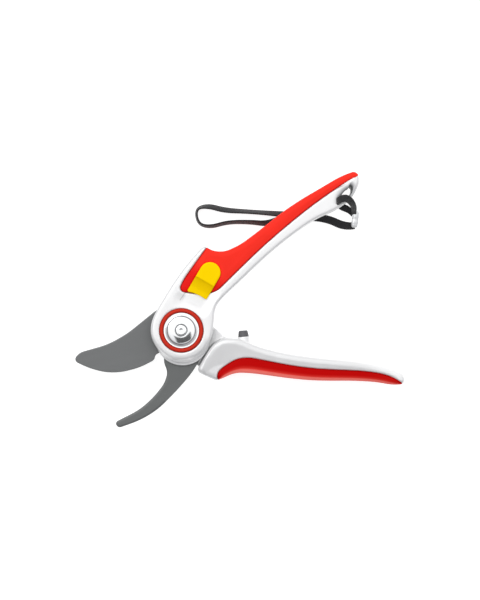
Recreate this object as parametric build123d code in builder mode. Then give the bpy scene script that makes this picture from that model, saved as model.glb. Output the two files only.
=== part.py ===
"""Bypass pruning shears lying flat with the jaws open, in millimetres.

Frame: +Z up, origin on the pivot's axis in the plane that the tool lies on. +X runs from the blades to the
handles, halfway between the open handles. The upper handle carries the hook blade, the pivot bolt and the
lock; the lower handle carries the cutting blade and turns about the pivot.
"""

import math
import os

from build123d import *

os.makedirs("parts", exist_ok=True)

# --- Levels above the surface that the tool lies on ---
HANDLE_TOP = 19.6
FLANGE_TOP = 15.4
TERRACE_TOP = 17.6
HOOK_TOP = 12.6
HOOK_BOTTOM = 9.3
CUTTING_TOP = 9.2
CUTTING_BOTTOM = 6.0
DISC_BOTTOM = 1.6
BOLT_HEAD_TOP = 2.7

# --- Handles ---
EDGE_ROUNDING = 2.8
UPPER_ANGLE = 27.0
LOWER_ANGLE = -27.0
GRIP_WALL = 3.4
CORE_BOTTOM, CORE_TOP = 4.8, 15.2
MIDDLE = 9.8
PROFILE_ROUNDING = 500.0

# --- Head and pivot ---
HEAD_RADIUS = 19.3
POCKET_RADIUS = 21.0
NECK_RELIEF_RADIUS = 28.0
DISC_RADIUS = 18.7
HOOK_TANG_RADIUS = 18.6
CUTTING_TANG_RADIUS = 18.3
SHANK_RADIUS = 4.0
RUNNING_CLEARANCE = 0.05
BUSH_RADIUS = 6.0
BOLT_HEAD_RADIUS = 8.0
BOLT_TOP = 22.2
WASHER_BOTTOM, WASHER_TOP = 17.9, 18.6
NUT_RADIUS, NUT_TOP = 10.0, 21.8
RING_INNER, RING_OUTER = 11.2, 14.2
RING_BOTTOM, RING_TOP = 18.9, 20.8

# --- Rubber buffer between the handles ---
BUFFER_PLANE = Plane(origin=(37.3, -13.9, 9.8), x_dir=(0, 0, 1), z_dir=(0.17, 0.985, 0))
BUFFER_POST_RADIUS, BUFFER_POST_LENGTH = 3.9, 8.0
BUFFER_BASE_RADIUS, BUFFER_TOP_RADIUS, BUFFER_HEIGHT = 3.5, 2.8, 4.0

# --- Travel of the moving parts ---
CLOSING_ANGLE = 38.0
LOCK_TRAVEL = 6.2

# --- Lock ---
LOCK_CENTRE = (26.9, 31.0)
PIVOT_FROM_LOCK = (40.94, 2.9)
SLIDER_HALF_WIDTH = 6.7
SLIDER_FRONT_RADIUS = 25.0
SLIDER_BOTTOM, SLIDER_TOP = 19.05, 21.3
THUMB_RAMP = [(6.2, 21.4), (7.6, 20.5), (11.0, 20.1), (18.5, 20.3)]
RECESS_FLOOR = 18.95
SLOT_GAP = 0.3
STEM_BACK, STEM_FRONT = -1.0, 8.8
STEM_MIDDLE, STEM_WIDTH = 2.0, 8.0
CATCH_WIDTH, POST_LENGTH = 4.0, 3.0
CATCH_BOTTOM, CATCH_TOP, POST_TOP = 6.4, 8.8, 17.4
TONGUE_TIP_RADIUS = 19.5
CATCH_NOTCH_RADIUS = 12.8

# --- Return spring ---
WIRE_RADIUS = 0.6
COIL_RADIUS = 9.4
COIL_PITCH = 1.3
COIL_HEIGHT = 2.6
COIL_BOTTOM = 13.4
SPRING_LEG_ANGLE = 0.0
SPRING_LEG_REACH = 13.0
SPRING_POCKET_TOP = 16.9
SPRING_ROOM = 1.3
LEG_SLOT_HALF_WIDTH = 1.0

# --- Screws and rivets ---
SCREW_LENGTH = 7.0
HOOK_SCREW_RADIUS, HOOK_SCREW_CIRCLE, HOOK_SCREW_ANGLES = 1.3, 15.0, (70, 190, 310)
RIVET_RADIUS, RIVET_CIRCLE, RIVET_ANGLES = 1.5, 12.4, (100, 220, 320)
HEAD_FLARE, HEAD_DEPTH = 1.1, 1.2

# --- Strap ---
STRAP_WIDTH = 4.9
STRAP_THICKNESS = 1.2
STRAP_BOTTOM = 0.1

STRAP_ROUTE = [
    (123.3, 37.2), (117.0, 37.8), (108.0, 44.4), (93.5, 51.3), (76.6, 57.7), (60.0, 63.4), (45.5, 67.9),
    (36.6, 74.0), (28.2, 73.6), (27.0, 64.6), (34.2, 60.7), (46.0, 60.6), (60.0, 56.6), (69.4, 53.0),
    (77.6, 51.2),
]
LOOP_SIDE = Plane(origin=(126.0, 43.6, 0), x_dir=(-0.353, 0.935, 0), z_dir=(0.935, 0.353, 0))
LOOP_LENGTH, LOOP_HEIGHT, LOOP_CORNER = 14.4, 18.7, 2.8
CLIP_LEVEL = Plane(origin=(125.0, 39.8, 0.1), x_dir=(0.25, 0.97, 0), z_dir=(0, 0, 1))
CLIP_LENGTH, CLIP_WIDTH, CLIP_HEIGHT = 7.2, 4.0, 3.6

REACH_ACROSS = 90.0


def polar(radius, angle):
    """The point at that distance and angle (degrees) from the pivot."""
    return (radius * math.cos(math.radians(angle)), radius * math.sin(math.radians(angle)))


def corner_radii(points, share, closed):
    """For each corner, the radius whose arc takes that share of the shorter run beside it."""
    radii = []
    corners = range(len(points)) if closed else range(1, len(points) - 1)
    for index in corners:
        before, corner, after = (Vector(*points[(index + step) % len(points)]) for step in (-1, 0, 1))
        run = min((corner - before).length, (after - corner).length)
        turn = (corner - before).get_angle(after - corner)
        radii.append(share * run / math.tan(math.radians(turn / 2)))
    return radii


def rounded(points):
    """A closed outline with every corner rounded as widely as its runs allow."""
    with BuildSketch() as outline:
        with BuildLine():
            FilletPolyline(*points, radius=corner_radii(points, 0.48, closed=True), close=True)
        make_face()
    return outline.sketch


def around_circle(radius, angles):
    """Corners of an outline that hugs the circle; the angles are evenly spaced."""
    half_step = math.radians(abs(angles[1] - angles[0]) / 2)
    return [polar(radius / math.cos(half_step), angle) for angle in angles]


def handle_side(angle):
    """The upright plane along a handle: x runs out from the pivot and y is up."""
    along = polar(1, angle)
    return Plane(origin=(0, 0, 0), x_dir=(*along, 0), z_dir=(along[1], -along[0], 0))


# Looking at the lock from its right: x is the way that it slides on and y is up.
LOCK_SIDE = Plane(origin=(*LOCK_CENTRE, 0), x_dir=(-1, -1, 0), z_dir=(-1, 1, 0))


def lock_level(height):
    """A level plane at the lock's centre whose x is the way that the lock slides on."""
    return Plane(origin=(*LOCK_CENTRE, height), x_dir=(-1, -1, 0), z_dir=(0, 0, 1))


# --- Outlines seen from above ---
UPPER_OUTLINE = [
    (-11.6, 16.9), (3.7, 31.8), (15.5, 41.2), (27.4, 49.0), (31.6, 44.2), (39.0, 41.6), (49.8, 43.4),
    (64.5, 49.4), (79.5, 56.3), (94.1, 61.6), (108.4, 65.6), (122.7, 69.8), (133.7, 70.9), (134.6, 64.2),
    (126.9, 54.0), (114.3, 49.3), (101.4, 47.5), (89.5, 43.4), (74.7, 37.3), (59.5, 29.7), (43.9, 20.8),
    (32.6, 14.8), (24.6, 9.4), (21.4, 0.0),
    *around_circle(HEAD_RADIUS, (-30, -61, -92, -123, -154, -185, -209)),
]
UPPER_SEAM = [
    (150.0, 71.0), (128.3, 66.1), (113.8, 61.3), (99.2, 55.6), (84.3, 48.9), (69.2, 41.6), (53.7, 33.2),
    (38.2, 24.2), (27.5, 18.0), (18.5, 19.0), (4.2, 24.4), (9.3, 30.9), (22.2, 41.7), (33.0, 50.5),
    (60.0, 95.0), (150.0, 95.0),
]
EYE_OUTLINE = [(115.8, 53.0), (116.8, 57.6), (122.2, 62.5), (129.7, 63.8), (128.6, 59.2), (122.2, 54.2)]
LOWER_OUTLINE = [
    (2.6, -27.6), (9.9, -20.2), (16.6, -13.9), (24.0, -11.3), (33.5, -13.9), (41.6, -20.2), (51.6, -26.5),
    (63.2, -32.2), (75.2, -37.2), (87.3, -41.6), (99.4, -45.8), (111.4, -50.5), (121.8, -55.8),
    (130.6, -62.9), (129.4, -69.0), (121.5, -67.4), (111.5, -62.8), (97.0, -58.2), (83.8, -54.9),
    (71.5, -51.4), (59.4, -47.0), (47.5, -42.1), (36.5, -37.6), (26.4, -34.6), (17.2, -36.2),
    (13.6, -36.6), (8.0, -32.2),
]
LOWER_SEAM = [
    (16.0, -50.0), (14.4, -32.0), (22.0, -28.4), (30.3, -26.2), (37.9, -27.6), (46.0, -31.4), (55.6, -36.1),
    (67.5, -41.4), (79.6, -45.9), (91.8, -49.7), (104.1, -53.4), (114.9, -57.6), (122.4, -61.9),
    (131.0, -71.0), (131.0, -95.0), (16.0, -95.0),
]
HOOK_OUTLINE = [
    (-13.5, -8.0), (-16.2, -17.2), (-15.2, -23.6), (-19.2, -30.2), (-27.6, -36.6), (-38.6, -42.4),
    (-56.0, -46.2), (-54.9, -50.4), (-40.1, -49.1), (-27.3, -45.3), (-10.0, -34.9), (2.0, -26.2),
    (11.6, -15.2), (0.0, 0.0),
]
CUTTING_OUTLINE = [
    (-2.0, 17.6), (-10.6, 17.4), (-23.2, 11.7), (-34.1, 6.7), (-47.7, 3.0), (-67.0, 2.6), (-72.0, -1.4),
    (-64.1, -8.2), (-54.1, -13.9), (-44.3, -16.4), (-31.6, -16.4), (-21.6, -14.0), (-20.2, -10.9),
    (-14.0, -9.8), (0.0, 0.0),
]
LIP_DISCS = [((-0.6, -4.9), 17.5, FLANGE_TOP), ((-0.3, -2.6), 17.9, TERRACE_TOP)]
HEAD_FRONT_SIDE = [(-30, -30), (30, -30), (30, -2), (0, 0), (-14, 12), (-30, 25)]
NECK_RELIEF = [(0, 0), *(polar(NECK_RELIEF_RADIUS, angle) for angle in (-20, 5, 28))]
NECK_WEB = [
    (0.0, -18.0), (6.0, -27.0), (27.5, -20.0), (27.0, -11.8), (24.7, -10.1), (22.4, -6.1), (18.6, -0.5),
]

# --- Side profiles: points are (distance from the pivot, height) ---
UPPER_TOP = [(-60, HANDLE_TOP), (75, HANDLE_TOP), (112, 18.0), (170, 13.8)]
UPPER_UNDERSIDE = [(-60, 0), (52, 0), (90, 3.4), (170, 7.4)]
LOWER_TOP = [(-60, HANDLE_TOP), (75, HANDLE_TOP), (112, 18.2), (170, 14.4)]
LOWER_UNDERSIDE = [(-60, 0), (66, 0), (105, 1.6), (170, 5.4)]


def side_profile(top, underside):
    """A handle seen from the side, between its top line and its underside line."""
    with BuildSketch() as side:
        with BuildLine():
            over = FilletPolyline(*top, radius=PROFILE_ROUNDING)
            under = FilletPolyline(*underside, radius=PROFILE_ROUNDING)
            Line(over @ 0, under @ 0)
            Line(over @ 1, under @ 1)
        make_face()
    return side.sketch


def rim_edges(solid):
    """The edges around the solid's top and around its underside."""
    rims = ShapeList()
    for upward in (True, False):
        level = solid.faces().filter_by(lambda face: abs(face.normal_at(face.center()).Z) > 0.8)
        faces = level.filter_by(lambda face: (face.center().Z > MIDDLE) == upward)
        edges = faces.edges()
        rims += [edge for edge in edges if sum(edge.is_same(other) for other in edges) == 1]
    return rims


def handle_body(outline, angle, profile):
    """The outline raised to the handle's height, thinned toward its end and rounded along both rims."""
    with BuildPart() as body:
        with BuildSketch(Plane.XY):
            add(outline)
        extrude(amount=HANDLE_TOP)
        with BuildSketch(handle_side(angle)):
            add(profile)
        extrude(amount=REACH_ACROSS, both=True, mode=Mode.INTERSECT)
        fillet(rim_edges(body.part), radius=EDGE_ROUNDING)
    return body.part


def grip_volume(body, outline, seam):
    """The part of a handle's body outside the seam, less the metal core that runs inside it."""
    with BuildPart() as volume:
        with BuildSketch(Plane.XY):
            add(rounded(seam))
        extrude(amount=HANDLE_TOP + 1)
        add(body, mode=Mode.INTERSECT)
        with BuildSketch(Plane.XY.offset(CORE_BOTTOM)):
            add(outline)
            offset(amount=-GRIP_WALL, mode=Mode.REPLACE)
        extrude(amount=CORE_TOP - CORE_BOTTOM, mode=Mode.SUBTRACT)
    return volume.part


def slider_outline(margin, travel):
    """The lock slider seen from above, with room all round it and along its travel."""
    side = SLIDER_HALF_WIDTH + margin
    front_radius = SLIDER_FRONT_RADIUS - margin - travel
    pivot_along, pivot_across = PIVOT_FROM_LOCK
    with BuildSketch() as outline:
        with BuildLine():
            right_end = (pivot_along - math.sqrt(front_radius**2 - (side - pivot_across) ** 2), side)
            left_end = (pivot_along - math.sqrt(front_radius**2 - (side + pivot_across) ** 2), -side)
            Line(right_end, (0, side))
            ThreePointArc((0, side), (-side, 0), (0, -side))
            Line((0, -side), left_end)
            ThreePointArc(left_end, (pivot_along - front_radius, pivot_across), right_end)
        make_face()
        fillet(outline.vertices().group_by(Axis.X)[-1] + outline.vertices().group_by(Axis.X)[-2], radius=1.0)
    return outline.sketch


# --- Lock: the opening that its parts slide in ---
POST_BACK = STEM_FRONT - POST_LENGTH
TONGUE_TIP = PIVOT_FROM_LOCK[0] - TONGUE_TIP_RADIUS
with BuildPart() as lock_opening:
    with BuildSketch(lock_level(RECESS_FLOOR)):
        add(slider_outline(SLOT_GAP, LOCK_TRAVEL))
    extrude(amount=5)
    with BuildSketch(lock_level(CORE_TOP)):
        with Locations((STEM_BACK - SLOT_GAP, STEM_MIDDLE)):
            stem_slot = STEM_FRONT - STEM_BACK + LOCK_TRAVEL + 2 * SLOT_GAP
            Rectangle(stem_slot, STEM_WIDTH + 2 * SLOT_GAP, align=(Align.MIN, Align.CENTER))
    extrude(amount=5)
    with BuildSketch(lock_level(CATCH_BOTTOM - SLOT_GAP)):
        with Locations((POST_BACK - SLOT_GAP, PIVOT_FROM_LOCK[1])):
            post_slot = POST_LENGTH + LOCK_TRAVEL + 2 * SLOT_GAP
            Rectangle(post_slot, CATCH_WIDTH + 2 * SLOT_GAP, align=(Align.MIN, Align.CENTER))
    extrude(amount=10)
    with BuildSketch(lock_level(CATCH_BOTTOM - SLOT_GAP)):
        with Locations((POST_BACK - SLOT_GAP, PIVOT_FROM_LOCK[1])):
            tongue_slot = PIVOT_FROM_LOCK[0] - HEAD_RADIUS - POST_BACK
            Rectangle(tongue_slot, CATCH_WIDTH + 2 * SLOT_GAP, align=(Align.MIN, Align.CENTER))
    extrude(amount=CATCH_TOP - CATCH_BOTTOM + 2 * SLOT_GAP)

with BuildPart() as lock_slider:
    with BuildSketch(lock_level(SLIDER_BOTTOM)):
        add(slider_outline(0, 0))
    extrude(amount=SLIDER_TOP - SLIDER_BOTTOM)
    fillet(lock_slider.faces().sort_by(Axis.Z)[-1].edges(), radius=0.8)
    with BuildSketch(LOCK_SIDE):
        with BuildLine():
            thumb = Spline(*THUMB_RAMP, tangents=[(0.4, -1), (1, 0.08)])
            above_ends = [(THUMB_RAMP[end][0], SLIDER_TOP + 2) for end in (-1, 0)]
            Polyline(thumb @ 1, *above_ends, thumb @ 0)
        make_face()
    extrude(amount=2 * SLIDER_HALF_WIDTH, both=True, mode=Mode.SUBTRACT)
    with BuildSketch(lock_level(CORE_TOP + 0.1)):
        with Locations((STEM_BACK, STEM_MIDDLE)):
            Rectangle(STEM_FRONT - STEM_BACK, STEM_WIDTH, align=(Align.MIN, Align.CENTER))
    extrude(amount=SLIDER_BOTTOM - CORE_TOP)
    with BuildSketch(lock_level(CORE_TOP)):
        with Locations((POST_BACK, PIVOT_FROM_LOCK[1])):
            Rectangle(POST_LENGTH, CATCH_WIDTH, align=(Align.MIN, Align.CENTER))
    extrude(amount=POST_TOP - CORE_TOP, mode=Mode.SUBTRACT)

with BuildPart() as lock_catch:
    with BuildSketch(lock_level(CATCH_BOTTOM)):
        with Locations((POST_BACK, PIVOT_FROM_LOCK[1])):
            Rectangle(POST_LENGTH, CATCH_WIDTH, align=(Align.MIN, Align.CENTER))
    extrude(amount=POST_TOP - CATCH_BOTTOM)
    with BuildSketch(lock_level(CATCH_BOTTOM)):
        with Locations((POST_BACK, PIVOT_FROM_LOCK[1])):
            Rectangle(TONGUE_TIP - POST_BACK, CATCH_WIDTH, align=(Align.MIN, Align.CENTER))
    extrude(amount=CATCH_TOP - CATCH_BOTTOM)

# --- The way that the spring's lower leg takes as the handles close ---
with BuildLine() as leg_path:
    CenterArc((0, 0), COIL_RADIUS, SPRING_LEG_ANGLE - 2, CLOSING_ANGLE + 4)

# --- Hook blade: lies over the cutting blade, fixed under the upper handle's head ---
with BuildPart() as hook_blade:
    with BuildSketch(Plane.XY.offset(HOOK_BOTTOM)):
        add(rounded(HOOK_OUTLINE))
        Circle(HOOK_TANG_RADIUS)
        Circle(SHANK_RADIUS, mode=Mode.SUBTRACT)
        for angle in HOOK_SCREW_ANGLES:
            with Locations(polar(HOOK_SCREW_CIRCLE, angle)):
                Circle(HOOK_SCREW_RADIUS, mode=Mode.SUBTRACT)
    extrude(amount=HOOK_TOP - HOOK_BOTTOM)
    with BuildSketch(Plane.XY.offset(HOOK_BOTTOM)):
        SlotArc(leg_path.wire(), height=2 * LEG_SLOT_HALF_WIDTH)
    extrude(amount=HOOK_TOP - HOOK_BOTTOM, mode=Mode.SUBTRACT)

with BuildPart() as hook_screws:
    for angle in HOOK_SCREW_ANGLES:
        with Locations((*polar(HOOK_SCREW_CIRCLE, angle), HOOK_BOTTOM + 0.2)):
            Cylinder(HOOK_SCREW_RADIUS, SCREW_LENGTH, align=(Align.CENTER, Align.CENTER, Align.MIN))

# --- Cutting blade: lies under the hook blade, riveted on the lower handle's disc ---
with BuildPart() as cutting_blade:
    with BuildSketch(Plane.XY.offset(CUTTING_BOTTOM)):
        add(rounded(CUTTING_OUTLINE))
        Circle(CUTTING_TANG_RADIUS)
        Circle(SHANK_RADIUS + RUNNING_CLEARANCE, mode=Mode.SUBTRACT)
        for angle in RIVET_ANGLES:
            with Locations(polar(RIVET_CIRCLE, angle)):
                Circle(RIVET_RADIUS, mode=Mode.SUBTRACT)
        with Locations(polar(COIL_RADIUS, SPRING_LEG_ANGLE)):
            Circle(WIRE_RADIUS + RUNNING_CLEARANCE, mode=Mode.SUBTRACT)
    extrude(amount=CUTTING_TOP - CUTTING_BOTTOM)
    with BuildSketch(Plane.XY.offset(CUTTING_BOTTOM)):
        for angle in (45, 45 - CLOSING_ANGLE):
            with PolarLocations(CATCH_NOTCH_RADIUS, 1, start_angle=angle):
                Rectangle(10, CATCH_WIDTH + 2 * SLOT_GAP, align=(Align.MIN, Align.CENTER))
    extrude(amount=CUTTING_TOP - CUTTING_BOTTOM, mode=Mode.SUBTRACT)

with BuildPart() as blade_rivets:
    for angle in RIVET_ANGLES:
        with Locations((*polar(RIVET_CIRCLE, angle), DISC_BOTTOM)):
            Cylinder(RIVET_RADIUS, CUTTING_TOP - DISC_BOTTOM, align=(Align.CENTER, Align.CENTER, Align.MIN))
            Cone(
                RIVET_RADIUS + HEAD_FLARE, RIVET_RADIUS, HEAD_DEPTH,
                align=(Align.CENTER, Align.CENTER, Align.MIN),
            )

# --- Pivot ---
with BuildPart() as pivot_bolt:
    Cylinder(BOLT_HEAD_RADIUS, BOLT_HEAD_TOP, align=(Align.CENTER, Align.CENTER, Align.MIN))
    chamfer(pivot_bolt.edges().group_by(Axis.Z)[0], length=0.6)
    Cylinder(SHANK_RADIUS, BOLT_TOP, align=(Align.CENTER, Align.CENTER, Align.MIN))
    chamfer(pivot_bolt.edges().group_by(Axis.Z)[-1], length=0.5)

with BuildPart() as pivot_bush:
    with BuildSketch(Plane.XY.offset(BOLT_HEAD_TOP + 0.1)):
        Circle(BUSH_RADIUS)
        Circle(SHANK_RADIUS + RUNNING_CLEARANCE, mode=Mode.SUBTRACT)
    extrude(amount=CUTTING_BOTTOM - BOLT_HEAD_TOP - 0.1)

with BuildPart() as pivot_washer:
    with BuildSketch(Plane.XY.offset(WASHER_BOTTOM)):
        Circle(RING_INNER)
        Circle(SHANK_RADIUS, mode=Mode.SUBTRACT)
    extrude(amount=WASHER_TOP - WASHER_BOTTOM)

with BuildPart() as pivot_nut:
    with BuildSketch(Plane.XY.offset(WASHER_TOP)):
        Circle(NUT_RADIUS)
        Circle(SHANK_RADIUS, mode=Mode.SUBTRACT)
    extrude(amount=NUT_TOP - WASHER_TOP)
    fillet(pivot_nut.edges().group_by(Axis.Z)[-1].sort_by(SortBy.RADIUS)[-1], radius=1.2)

with BuildPart() as pivot_ring:
    with BuildSketch(Plane.XY.offset(RING_BOTTOM)):
        Circle(RING_OUTER)
        Circle(RING_INNER, mode=Mode.SUBTRACT)
    extrude(amount=RING_TOP - RING_BOTTOM)
    fillet(pivot_ring.edges().group_by(Axis.Z)[-1], radius=1.2)

# --- Return spring round the pivot: one leg in the head, the other down into the cutting blade ---
with BuildPart() as return_spring:
    with BuildLine(Plane.XY.offset(COIL_BOTTOM)) as coil:
        Helix(COIL_PITCH, COIL_HEIGHT, COIL_RADIUS)
    with BuildSketch(Plane(coil.line @ 0, z_dir=coil.line % 0)):
        Circle(WIRE_RADIUS)
    sweep(path=coil.line, is_frenet=True)
    with Locations((*polar(COIL_RADIUS, SPRING_LEG_ANGLE), COIL_BOTTOM)):
        leg_drop = COIL_BOTTOM - CUTTING_BOTTOM - 0.5
        Cylinder(WIRE_RADIUS, leg_drop, align=(Align.CENTER, Align.CENTER, Align.MAX))
    with BuildSketch(Plane(coil.line @ 1, z_dir=(*polar(1, SPRING_LEG_ANGLE), 0))):
        Circle(WIRE_RADIUS)
    extrude(amount=SPRING_LEG_REACH - COIL_RADIUS)

# --- Upper handle ---
UPPER_SKETCH = rounded(UPPER_OUTLINE)
upper_body = handle_body(UPPER_SKETCH, UPPER_ANGLE, side_profile(UPPER_TOP, UPPER_UNDERSIDE))

with BuildPart() as upper_grip:
    add(grip_volume(upper_body, UPPER_SKETCH, UPPER_SEAM))
    add(lock_opening, mode=Mode.SUBTRACT)
    with BuildSketch(Plane.XY):
        Circle(POCKET_RADIUS)
    extrude(amount=HOOK_BOTTOM, mode=Mode.SUBTRACT)

with BuildPart() as upper_frame:
    add(upper_body)
    for centre, radius, top in LIP_DISCS:
        with BuildSketch(Plane.XY.offset(HOOK_TOP)):
            with Locations(centre):
                Circle(radius)
        extrude(amount=top - HOOK_TOP)
    add(grip_volume(upper_body, UPPER_SKETCH, UPPER_SEAM), mode=Mode.SUBTRACT)
    add(lock_opening, mode=Mode.SUBTRACT)
    with BuildSketch(Plane.XY):
        add(rounded(EYE_OUTLINE))
    extrude(amount=HANDLE_TOP + 1, mode=Mode.SUBTRACT)
    with BuildSketch(Plane.XY):
        Circle(POCKET_RADIUS)
        with BuildLine():
            Polyline(*NECK_RELIEF, close=True)
        make_face()
    extrude(amount=HOOK_BOTTOM, mode=Mode.SUBTRACT)
    with BuildSketch(Plane.XY.offset(HOOK_BOTTOM)):
        Circle(HOOK_TANG_RADIUS)
        with BuildLine():
            Polyline(*HEAD_FRONT_SIDE, close=True)
        make_face()
    extrude(amount=HOOK_TOP - HOOK_BOTTOM, mode=Mode.SUBTRACT)
    with BuildSketch(Plane.XY.offset(HOOK_TOP)):
        Circle(SHANK_RADIUS)
    extrude(amount=HANDLE_TOP, mode=Mode.SUBTRACT)
    with BuildSketch(Plane.XY.offset(HOOK_TOP)):
        Circle(COIL_RADIUS + SPRING_ROOM)
        Circle(COIL_RADIUS - SPRING_ROOM, mode=Mode.SUBTRACT)
        with PolarLocations(COIL_RADIUS, 1, start_angle=SPRING_LEG_ANGLE):
            leg_room = SPRING_LEG_REACH - COIL_RADIUS + SLOT_GAP
            Rectangle(leg_room, 2 * (WIRE_RADIUS + SLOT_GAP), align=(Align.MIN, Align.CENTER))
    extrude(amount=SPRING_POCKET_TOP - HOOK_TOP, mode=Mode.SUBTRACT)
    with BuildSketch(Plane.XY.offset(WASHER_BOTTOM)):
        Circle(RING_INNER)
    extrude(amount=HANDLE_TOP, mode=Mode.SUBTRACT)
    with BuildSketch(Plane.XY.offset(RING_BOTTOM)):
        Circle(RING_OUTER)
    extrude(amount=HANDLE_TOP, mode=Mode.SUBTRACT)
    add(hook_screws, mode=Mode.SUBTRACT)

# --- Lower handle ---
LOWER_SKETCH = rounded(LOWER_OUTLINE)
lower_body = handle_body(LOWER_SKETCH, LOWER_ANGLE, side_profile(LOWER_TOP, LOWER_UNDERSIDE))

with BuildPart() as lower_grip:
    add(grip_volume(lower_body, LOWER_SKETCH, LOWER_SEAM))

with BuildPart() as lower_frame:
    add(lower_body)
    add(grip_volume(lower_body, LOWER_SKETCH, LOWER_SEAM), mode=Mode.SUBTRACT)
    with BuildSketch(Plane.XY.offset(DISC_BOTTOM)):
        Circle(DISC_RADIUS)
        with BuildLine():
            Polyline(*NECK_WEB, close=True)
        make_face()
    extrude(amount=CUTTING_BOTTOM - DISC_BOTTOM)
    with BuildSketch(BUFFER_PLANE):
        Circle(BUFFER_POST_RADIUS)
    extrude(amount=-BUFFER_POST_LENGTH)
    with BuildSketch(Plane.XY):
        Circle(BOLT_HEAD_RADIUS + 0.3)
    extrude(amount=BOLT_HEAD_TOP + 0.1, mode=Mode.SUBTRACT)
    add(pivot_bush, mode=Mode.SUBTRACT)
    with BuildSketch(Plane.XY):
        Circle(SHANK_RADIUS + RUNNING_CLEARANCE)
    extrude(amount=CUTTING_BOTTOM, mode=Mode.SUBTRACT)
    add(blade_rivets, mode=Mode.SUBTRACT)

with BuildPart() as buffer_cap:
    with BuildSketch(BUFFER_PLANE):
        Circle(BUFFER_BASE_RADIUS)
    with BuildSketch(BUFFER_PLANE.offset(BUFFER_HEIGHT)):
        Circle(BUFFER_TOP_RADIUS)
    loft()
    fillet(buffer_cap.faces().sort_by(Axis.Y)[-1].edges(), radius=0.9)

# --- Wrist strap, its clip and the small loop through the handle's eye ---
route_radii = corner_radii(STRAP_ROUTE, 0.45, closed=False)
with BuildPart() as wrist_strap:
    with BuildLine(Plane.XY.offset(STRAP_BOTTOM + STRAP_THICKNESS / 2)) as strap_route:
        FilletPolyline(*STRAP_ROUTE, radius=route_radii)
    with BuildSketch(Plane(strap_route.line @ 0, x_dir=(0, 0, 1), z_dir=strap_route.line % 0)):
        Rectangle(STRAP_THICKNESS, STRAP_WIDTH)
    sweep(path=strap_route.line)
strap_length = strap_route.wire().length
expected_volume = STRAP_WIDTH * STRAP_THICKNESS * strap_length
print("strap bend radii", [round(radius, 1) for radius in route_radii])
print(f"strap length {strap_length:.1f} volume {wrist_strap.part.volume:.1f} of {expected_volume:.1f}")

with BuildPart() as eye_loop:
    with BuildSketch(LOOP_SIDE):
        with Locations((0, STRAP_BOTTOM)):
            RectangleRounded(LOOP_LENGTH, LOOP_HEIGHT, LOOP_CORNER, align=(Align.MIN, Align.MIN))
        with Locations((STRAP_THICKNESS, STRAP_BOTTOM + STRAP_THICKNESS)):
            RectangleRounded(
                LOOP_LENGTH - 2 * STRAP_THICKNESS, LOOP_HEIGHT - 2 * STRAP_THICKNESS,
                LOOP_CORNER - STRAP_THICKNESS, align=(Align.MIN, Align.MIN), mode=Mode.SUBTRACT,
            )
    extrude(amount=STRAP_WIDTH / 2, both=True)

with BuildPart() as strap_clip:
    with BuildSketch(CLIP_LEVEL):
        RectangleRounded(CLIP_LENGTH, CLIP_WIDTH, 0.8)
    extrude(amount=CLIP_HEIGHT)
    fillet(strap_clip.faces().sort_by(Axis.Z)[-1].edges(), radius=0.6)
    add(wrist_strap, mode=Mode.SUBTRACT)
    add(eye_loop, mode=Mode.SUBTRACT)

PIECES = {
    "upper_frame": upper_frame,
    "upper_grip": upper_grip,
    "hook_blade": hook_blade,
    "hook_screws": hook_screws,
    "pivot_bolt": pivot_bolt,
    "pivot_washer": pivot_washer,
    "pivot_nut": pivot_nut,
    "pivot_ring": pivot_ring,
    "return_spring": return_spring,
    "lock_slider": lock_slider,
    "lock_catch": lock_catch,
    "wrist_strap": wrist_strap,
    "eye_loop": eye_loop,
    "strap_clip": strap_clip,
    "lower_frame": lower_frame,
    "lower_grip": lower_grip,
    "cutting_blade": cutting_blade,
    "blade_rivets": blade_rivets,
    "pivot_bush": pivot_bush,
    "buffer_cap": buffer_cap,
}
for name, piece in PIECES.items():
    piece.part.label = name
    export_step(piece.part, f"parts/{name}.step")
    size = piece.part.bounding_box().size
    print(
        f"{name:14s} solids {len(piece.part.solids())} volume {piece.part.volume:8.1f}"
        f" size {size.X:.1f} {size.Y:.1f} {size.Z:.2f} valid {piece.part.is_valid}"
    )
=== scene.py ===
import math

import bpy
import numpy as np
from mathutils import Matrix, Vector
from mathutils.kdtree import KDTree


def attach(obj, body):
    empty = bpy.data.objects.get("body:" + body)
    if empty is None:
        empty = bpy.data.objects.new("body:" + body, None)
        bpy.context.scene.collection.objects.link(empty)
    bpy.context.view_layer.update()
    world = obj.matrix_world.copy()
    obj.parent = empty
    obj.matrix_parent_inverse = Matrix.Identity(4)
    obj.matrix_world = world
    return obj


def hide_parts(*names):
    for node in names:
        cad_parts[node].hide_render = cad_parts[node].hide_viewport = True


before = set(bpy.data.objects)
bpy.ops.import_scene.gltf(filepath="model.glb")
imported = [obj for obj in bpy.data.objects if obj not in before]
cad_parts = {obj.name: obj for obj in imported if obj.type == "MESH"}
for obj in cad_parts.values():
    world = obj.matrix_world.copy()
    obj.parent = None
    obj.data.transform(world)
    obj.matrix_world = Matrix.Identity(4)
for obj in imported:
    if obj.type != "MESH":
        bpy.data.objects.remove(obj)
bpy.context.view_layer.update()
MM = 0.001

# --- Camera: straight above, turned so that the blades point to the left and a little down ---
VIEW_CENTRE = Vector((0.0410, 0.0094, 0.008))
VIEW_HEIGHT = 0.384
VIEW_DISTANCE = 2.0
ROLL = math.radians(-14.5)
SENSOR_WIDTH = 36.0
camera_data = bpy.data.cameras.new("camera")
camera_data.sensor_width = SENSOR_WIDTH
camera_data.lens = SENSOR_WIDTH * VIEW_DISTANCE / VIEW_HEIGHT
camera = bpy.data.objects.new("camera", camera_data)
bpy.context.scene.collection.objects.link(camera)
camera.location = VIEW_CENTRE + Vector((0, 0, VIEW_DISTANCE))
camera.rotation_euler = (0, 0, ROLL)
bpy.context.scene.camera = camera


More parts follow.
